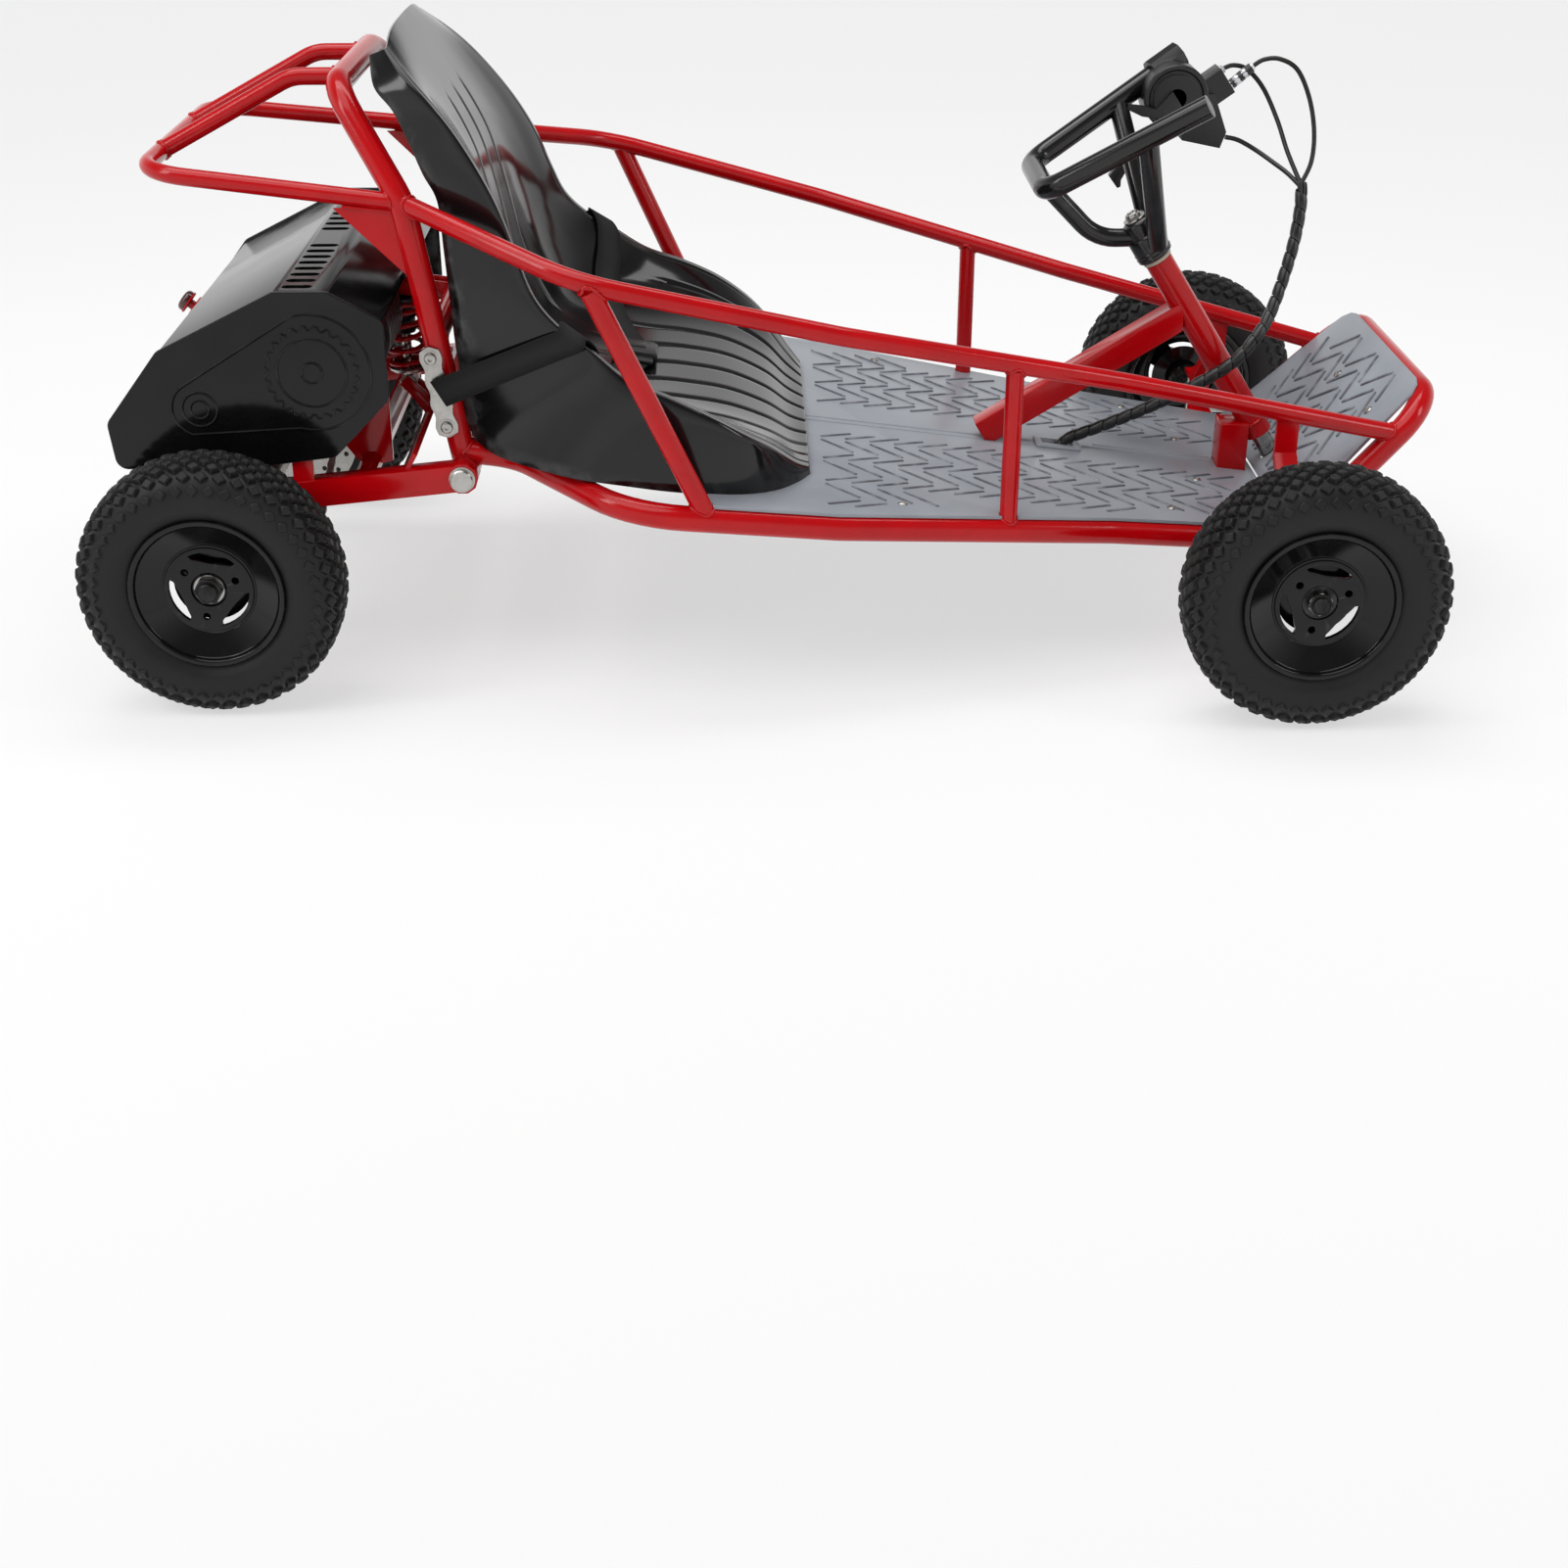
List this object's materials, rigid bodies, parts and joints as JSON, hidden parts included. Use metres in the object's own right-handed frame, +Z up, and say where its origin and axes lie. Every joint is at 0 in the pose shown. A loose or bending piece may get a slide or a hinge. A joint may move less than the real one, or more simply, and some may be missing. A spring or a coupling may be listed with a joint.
{
  "type": "kart chassis",
  "caption": "Red tube-frame kart with a bucket seat, lap belt, handlebar steering, floor panel, rear swing arm with covered drive and four knobby-tyred wheels.",
  "frame": {"origin": "centre of the bounding box's bottom face, on the ground", "axes": "+X forward along the kart, +Y to the driver's left, +Z up"},
  "size_m": [1.2116, 0.7, 0.548],
  "materials": {
    "red_paint": "gloss powder coat",
    "deck_paint": "grey stamped plate",
    "black_paint": "gloss black",
    "seat_plastic": "gloss black",
    "tyre_rubber": "matte rubber",
    "plated_steel": "zinc plated",
    "dark_metal": "dark satin",
    "satin_plastic": "satin",
    "webbing": "woven strap",
    "cable_rubber": "satin",
    "cream_plastic": "satin",
    "lamp_plastic": "clear gloss"
  },
  "bodies": {
    "frame": {"main_hoop": "red_paint", "lower_tube_left": "red_paint", "lower_tube_right": "red_paint", "side_rail_left": "red_paint", "side_rail_right": "red_paint", "upright_left": "red_paint", "upright_right": "red_paint", "slant_brace_left": "red_paint", "slant_brace_right": "red_paint", "front_loop": "red_paint", "rear_rack": "red_paint", "pivot_tube": "red_paint", "pivot_bolt": "plated_steel", "seat_cross_rear": "red_paint", "seat_cross_front": "red_paint", "head_tube": "red_paint", "column_brace": "red_paint", "headset_ring": "cream_plastic", "floor_panel": "deck_paint", "foot_plate": "deck_paint", "axle_bracket_left": "red_paint", "axle_bracket_right": "red_paint", "battery_box": "satin_plastic", "seat_shell": "seat_plastic", "belt_bracket_left": "plated_steel", "belt_bracket_right": "plated_steel", "belt_left": "webbing", "belt_right": "webbing", "control_cables": "cable_rubber"},
    "swing_arm": {"swing_arm": "red_paint", "drive_motor": "dark_metal", "drive_chain": "plated_steel", "brake_caliper": "dark_metal", "rear_cover": "black_paint", "rear_lamp": "lamp_plastic"},
    "rear_axle": {"rear_axle": "plated_steel", "axle_sprocket": "plated_steel", "brake_disc": "plated_steel", "rim_rear_left": "black_paint", "tyre_rear_left": "tyre_rubber", "rim_rear_right": "black_paint", "tyre_rear_right": "tyre_rubber"},
    "motor_rotor": {"motor_sprocket": "plated_steel"},
    "shock_upper": {"shock_body": "dark_metal"},
    "shock_lower": {"shock_rod": "plated_steel", "shock_spring": "red_paint"},
    "steering": {"steering_column": "plated_steel", "handlebar": "black_paint", "lever_housing": "satin_plastic", "lever_cables": "cable_rubber"},
    "brake_lever": {"brake_lever": "satin_plastic"},
    "throttle_trigger": {"throttle_trigger": "satin_plastic"},
    "tie_rod_left": {"tie_rod_left": "plated_steel"},
    "tie_rod_right": {"tie_rod_right": "plated_steel"},
    "spindle_left": {"spindle_left": "plated_steel"},
    "spindle_right": {"spindle_right": "plated_steel"},
    "wheel_front_left": {"rim_front_left": "black_paint", "tyre_front_left": "tyre_rubber"},
    "wheel_front_right": {"rim_front_right": "black_paint", "tyre_front_right": "tyre_rubber"}
  },
  "joints": [
    {"name": "rear_suspension", "type": "hinge", "parent": "frame", "child": "swing_arm", "pos_m": [-0.27735, 0, 0.184], "axis": [0, 1, 0], "range_deg": [0, 5], "stiffness_Nm_per_rad": 900, "springref_deg": -5.16},
    {"name": "rear_axle_spin", "type": "hinge", "parent": "swing_arm", "child": "rear_axle", "pos_m": [-0.49085, 0, 0.115], "axis": [0, 1, 0], "continuous": true},
    {"name": "motor_spin", "type": "hinge", "parent": "swing_arm", "child": "motor_rotor", "pos_m": [-0.38935, -0.14, 0.291], "axis": [0, 1, 0], "continuous": true},
    {"name": "shock_pivot", "type": "hinge", "parent": "frame", "child": "shock_upper", "pos_m": [-0.34735, 0, 0.308], "axis": [0, 1, 0], "range_deg": [-3, 3]},
    {"name": "shock_stroke", "type": "slide", "parent": "shock_upper", "child": "shock_lower", "axis": [0, 0, 1], "range_m": [0, 0.0065], "deforming": ["shock_spring"]},
    {"name": "steering", "type": "hinge", "parent": "frame", "child": "steering", "pos_m": [0.36265, 0, 0.325], "axis": [-0.5505, 0, 0.8348], "range_deg": [-25, 25]},
    {"name": "brake_lever_pull", "type": "hinge", "parent": "steering", "child": "brake_lever", "pos_m": [0.42765, 0.127, 0.453], "axis": [0, 1, 0], "range_deg": [0, 22], "stiffness_Nm_per_rad": 0.25, "springref_deg": -34.38},
    {"name": "throttle_press", "type": "hinge", "parent": "steering", "child": "throttle_trigger", "pos_m": [0.38065, 0.06, 0.46], "axis": [0, -1, 0], "range_deg": [0, 20], "stiffness_Nm_per_rad": 0.15, "springref_deg": -34.38},
    {"name": "spindle_left_turn", "type": "hinge", "parent": "frame", "child": "spindle_left", "pos_m": [0.46015, 0.24, 0.115], "axis": [0, 0, 1], "range_deg": [-26, 26]},
    {"name": "wheel_front_left_spin", "type": "hinge", "parent": "spindle_left", "child": "wheel_front_left", "pos_m": [0.46015, 0.314, 0.115], "axis": [0, 1, 0], "continuous": true},
    {"name": "tie_rod_left_turn", "type": "hinge", "parent": "steering", "child": "tie_rod_left", "pos_m": [0.54264, 0.01, 0.1247], "axis": [-0.5505, 0, 0.8348], "range_deg": [-28, 28]},
    {"name": "spindle_right_turn", "type": "hinge", "parent": "frame", "child": "spindle_right", "pos_m": [0.46015, -0.24, 0.115], "axis": [0, 0, 1], "range_deg": [-26, 26]},
    {"name": "wheel_front_right_spin", "type": "hinge", "parent": "spindle_right", "child": "wheel_front_right", "pos_m": [0.46015, -0.314, 0.115], "axis": [0, 1, 0], "continuous": true},
    {"name": "tie_rod_right_turn", "type": "hinge", "parent": "steering", "child": "tie_rod_right", "pos_m": [0.54264, -0.01, 0.1247], "axis": [-0.5505, 0, 0.8348], "range_deg": [-28, 28]}
  ],
  "couplings": [
    {"joint": "motor_spin", "follows": "rear_axle_spin", "ratio": 4.0909},
    {"joint": "shock_pivot", "follows": "rear_suspension", "ratio": -0.29167},
    {"joint": "shock_stroke", "follows": "rear_suspension", "m_per_rad": 0.07},
    {"joint": "spindle_left_turn", "follows": "steering", "ratio": 1},
    {"joint": "spindle_right_turn", "follows": "steering", "ratio": 1},
    {"joint": "tie_rod_left_turn", "follows": "steering", "ratio": -1.0435},
    {"joint": "tie_rod_right_turn", "follows": "steering", "ratio": -1.0435}
  ]
}
